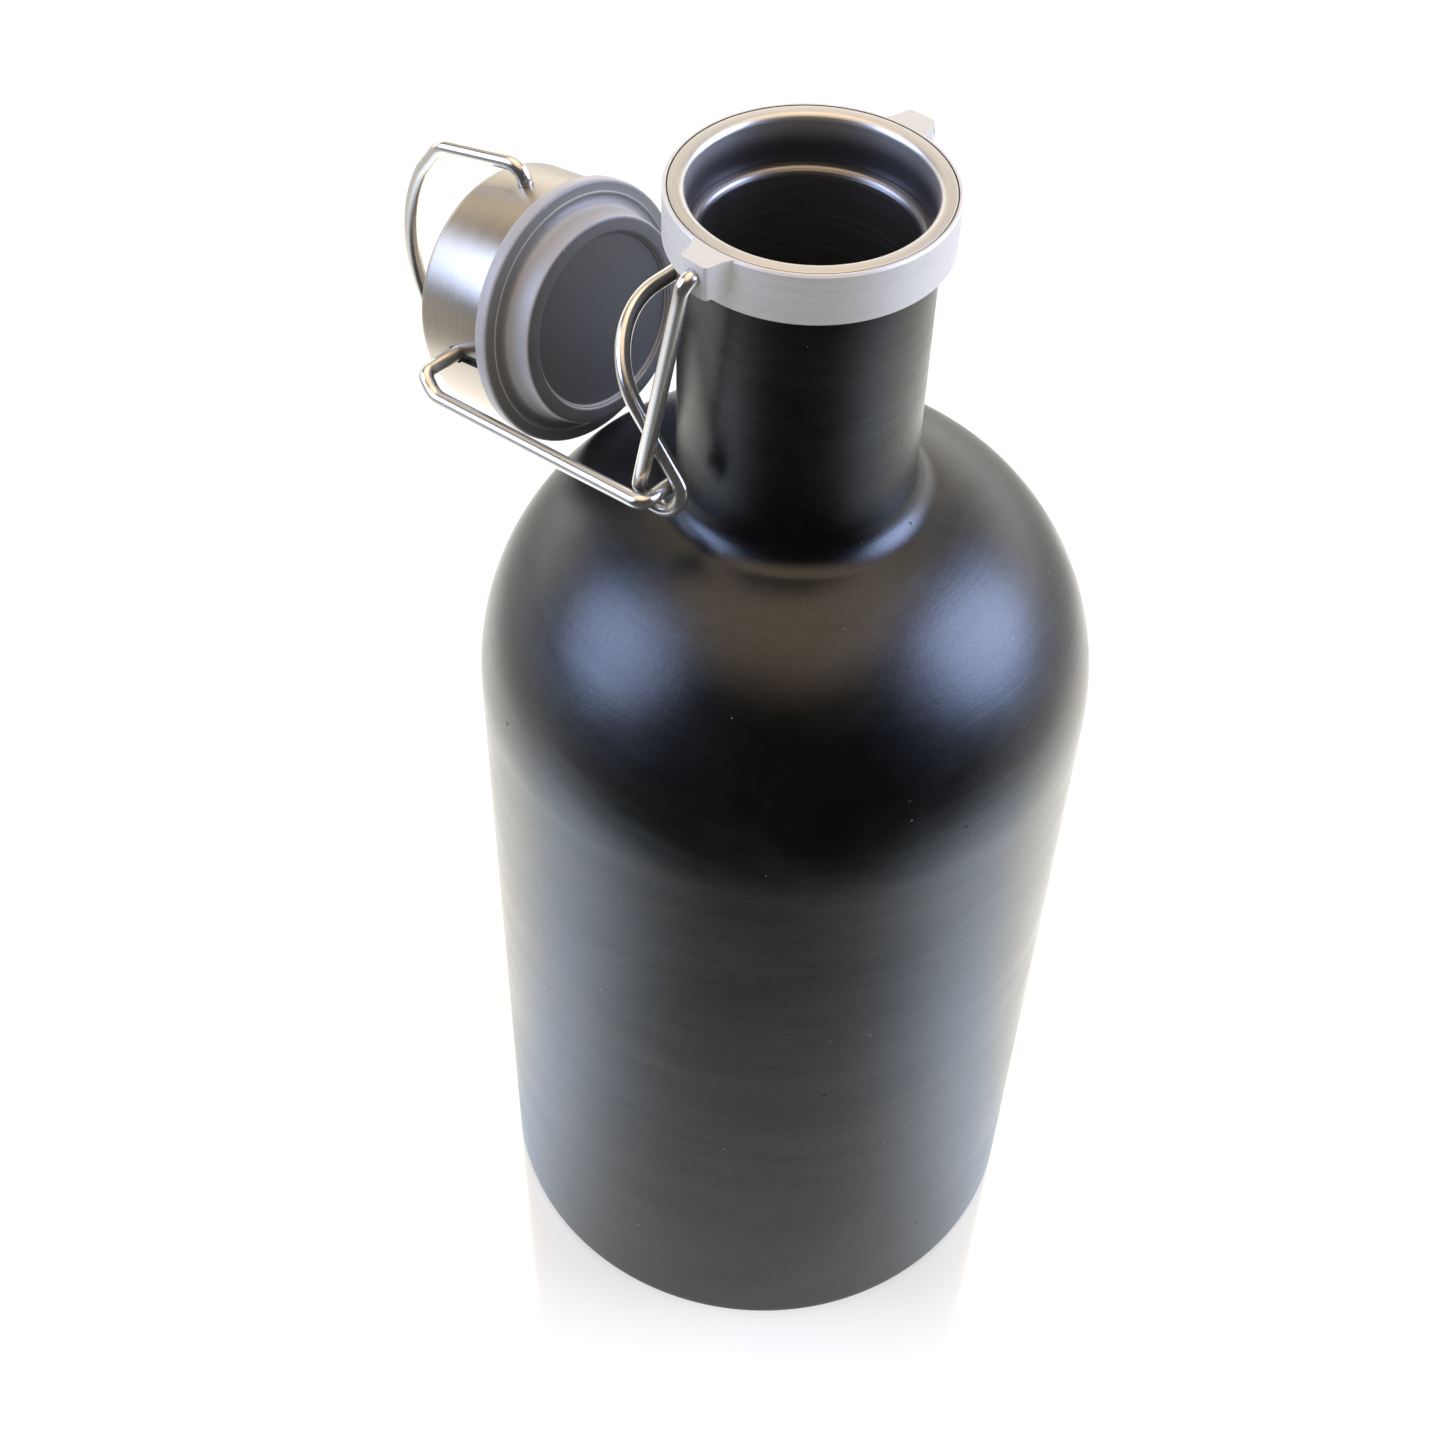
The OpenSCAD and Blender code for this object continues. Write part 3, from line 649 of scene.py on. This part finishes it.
def build_world():
    """Plain pale studio: white to the eye, and in reflections dark with soft boxes and a light band behind."""
    w = bpy.data.worlds.new("studio")
    bpy.context.scene.world = w
    w.use_nodes = True
    n = Nodes(w.node_tree)
    d = n.coords("Generated")
    lp = n.new("ShaderNodeLightPath")

    def patch(az, el, outer, inner, colour):
        k = n.vmath("DOT_PRODUCT", d, heading(az, el))
        m = n.step(k, math.cos(rad(outer)), math.cos(rad(inner)))
        return n.mix(m, (0, 0, 0, 1), (*colour, 1))
    total = None
    for box in SOFT_BOXES:
        c = patch(*box)
        total = c if total is None else n.mix(1.0, total, c, "ADD")
    level = n.new("ShaderNodeSeparateXYZ", i0=d).outputs[2]
    facing = n.vmath("DOT_PRODUCT", n.vmath("NORMALIZE", n.stretch(d, 1, 1, 0)), tuple(FRONT))
    behind = n.math("MULTIPLY", n.step(facing, 0.0, -0.55), n.step(level, 0.55, 0.2))
    back = n.mix(behind, (0, 0, 0, 1), BACK_LIGHT)
    total = n.mix(1.0, total, back, "ADD")
    studio = n.new("ShaderNodeBackground", Color=total, Strength=1.0)
    soft = n.new("ShaderNodeBackground", Color=n.mix(0.45, total, (0.8, 0.79, 0.78, 1)), Strength=0.62)
    white = n.new("ShaderNodeBackground", Color=(1, 1, 1, 1), Strength=1.04)
    pick = n.new("ShaderNodeMixShader", i0=lp.outputs["Is Glossy Ray"])
    bounce = n.new("ShaderNodeMixShader", i0=lp.outputs["Is Diffuse Ray"])
    n.tree.links.new(white.outputs[0], bounce.inputs[1])
    n.tree.links.new(soft.outputs[0], bounce.inputs[2])
    n.tree.links.new(bounce.outputs[0], pick.inputs[1])
    n.tree.links.new(studio.outputs[0], pick.inputs[2])
    out = n.new("ShaderNodeOutputWorld")
    n.tree.links.new(pick.outputs[0], out.inputs[0])


def build_floor():
    """White acrylic table: nearly pure white, with painted shade and a faint soft mirror image of the bottle
    near its base, and a painted glow that only reflections see.
    """
    me = bpy.data.meshes.new("floor")
    bm = bmesh.new()
    bmesh.ops.create_circle(bm, cap_ends=True, radius=4.0, segments=96)
    bm.to_mesh(me)
    bm.free()
    o = bpy.data.objects.new("floor", me)
    o.location = (0, 0, -0.0002)
    bpy.context.scene.collection.objects.link(o)
    m = bpy.data.materials.new("white_table")
    m.use_nodes = True
    n = Nodes(m.node_tree)
    p = n.coords()
    lp = n.new("ShaderNodeLightPath")
    # what the bottle's own surfaces mirror is a painted glow: a bright table behind and beside it, dimmed close
    # to the base as painted shade and dimmer far out, fading to dark in front
    ahead = n.vmath("DOT_PRODUCT", p, tuple(FRONT))
    facing = n.vmath("DOT_PRODUCT", n.vmath("NORMALIZE", p), tuple(FRONT))
    fade = n.math("MULTIPLY", n.step(ahead, 0.0, 0.31, 1.0, 0.0), 0.98)
    sides = n.mix(n.step(facing, -0.20, 0.30), (2.5, 2.42, 2.28, 1), (2.0, 2.25, 2.6, 1))
    front = n.mix(fade, (0, 0, 0, 1), (1, 1, 1, 1))
    away = n.vmath("LENGTH", p)
    sides = n.mix(n.step(away, 0.058, 0.120, 0.38, 0.0), sides, (0.6, 0.58, 0.55, 1))
    sides = n.mix(n.step(away, 0.27, 0.50, 0.0, 0.8), sides, (0.6, 0.58, 0.55, 1))
    wedge = n.math("ADD", facing, n.step(away, 0.22, 0.60, 0.0, 0.35))
    glow = n.mix(n.step(wedge, 0.30, 0.95), sides, front)
    # what the eye sees: near the bottle a little less bright as painted shade, with a faint mirror image, then
    # pure white
    clear = n.math("MAXIMUM", n.step(ahead, 0.046, 0.083), n.step(away, 0.10, 0.24))
    seen = n.mix(clear, (0.56, 0.56, 0.56, 1), (0.82, 0.82, 0.82, 1))
    shine = n.math("SUBTRACT", 0.2, n.math("MULTIPLY", clear, 0.2))
    seen = n.mix(lp.outputs["Is Diffuse Ray"], seen, (0.38, 0.38, 0.38, 1))
    emit = n.new("ShaderNodeEmission", Color=n.mix(lp.outputs["Is Glossy Ray"], seen, glow), Strength=1.0)
    diffuse = n.new("ShaderNodeBsdfDiffuse", Color=(0.30, 0.30, 0.30, 1))
    gloss = n.new("ShaderNodeBsdfGlossy", Color=n.mix(shine, (0, 0, 0, 1), (1, 1, 1, 1)), Roughness=0.07)
    black = n.new("ShaderNodeBsdfDiffuse", Color=(0, 0, 0, 1))
    a = n.new("ShaderNodeAddShader")
    n.tree.links.new(diffuse.outputs[0], a.inputs[0])
    n.tree.links.new(gloss.outputs[0], a.inputs[1])
    g = n.new("ShaderNodeMixShader", i0=lp.outputs["Is Glossy Ray"])
    n.tree.links.new(a.outputs[0], g.inputs[1])
    n.tree.links.new(black.outputs[0], g.inputs[2])
    s = n.new("ShaderNodeAddShader")
    n.tree.links.new(emit.outputs[0], s.inputs[0])
    n.tree.links.new(g.outputs[0], s.inputs[1])
    out = n.new("ShaderNodeOutputMaterial")
    n.tree.links.new(s.outputs[0], out.inputs[0])
    me.materials.append(m)


def build_camera():
    cam = bpy.data.cameras.new("camera")
    cam.sensor_width = 36.0
    cam.lens = CAMERA_LENS
    cam.clip_start = 0.01
    cam.clip_end = 50
    o = bpy.data.objects.new("camera", cam)
    o.location = CAMERA_AT
    o.rotation_euler = Euler([rad(a) for a in CAMERA_TURN], "XYZ")
    bpy.context.scene.collection.objects.link(o)
    bpy.context.scene.camera = o


build_camera()
build_world()
build_floor()
build_bottle()
build_wires()
build_lid()
bpy.context.scene.view_settings.view_transform = "Standard"
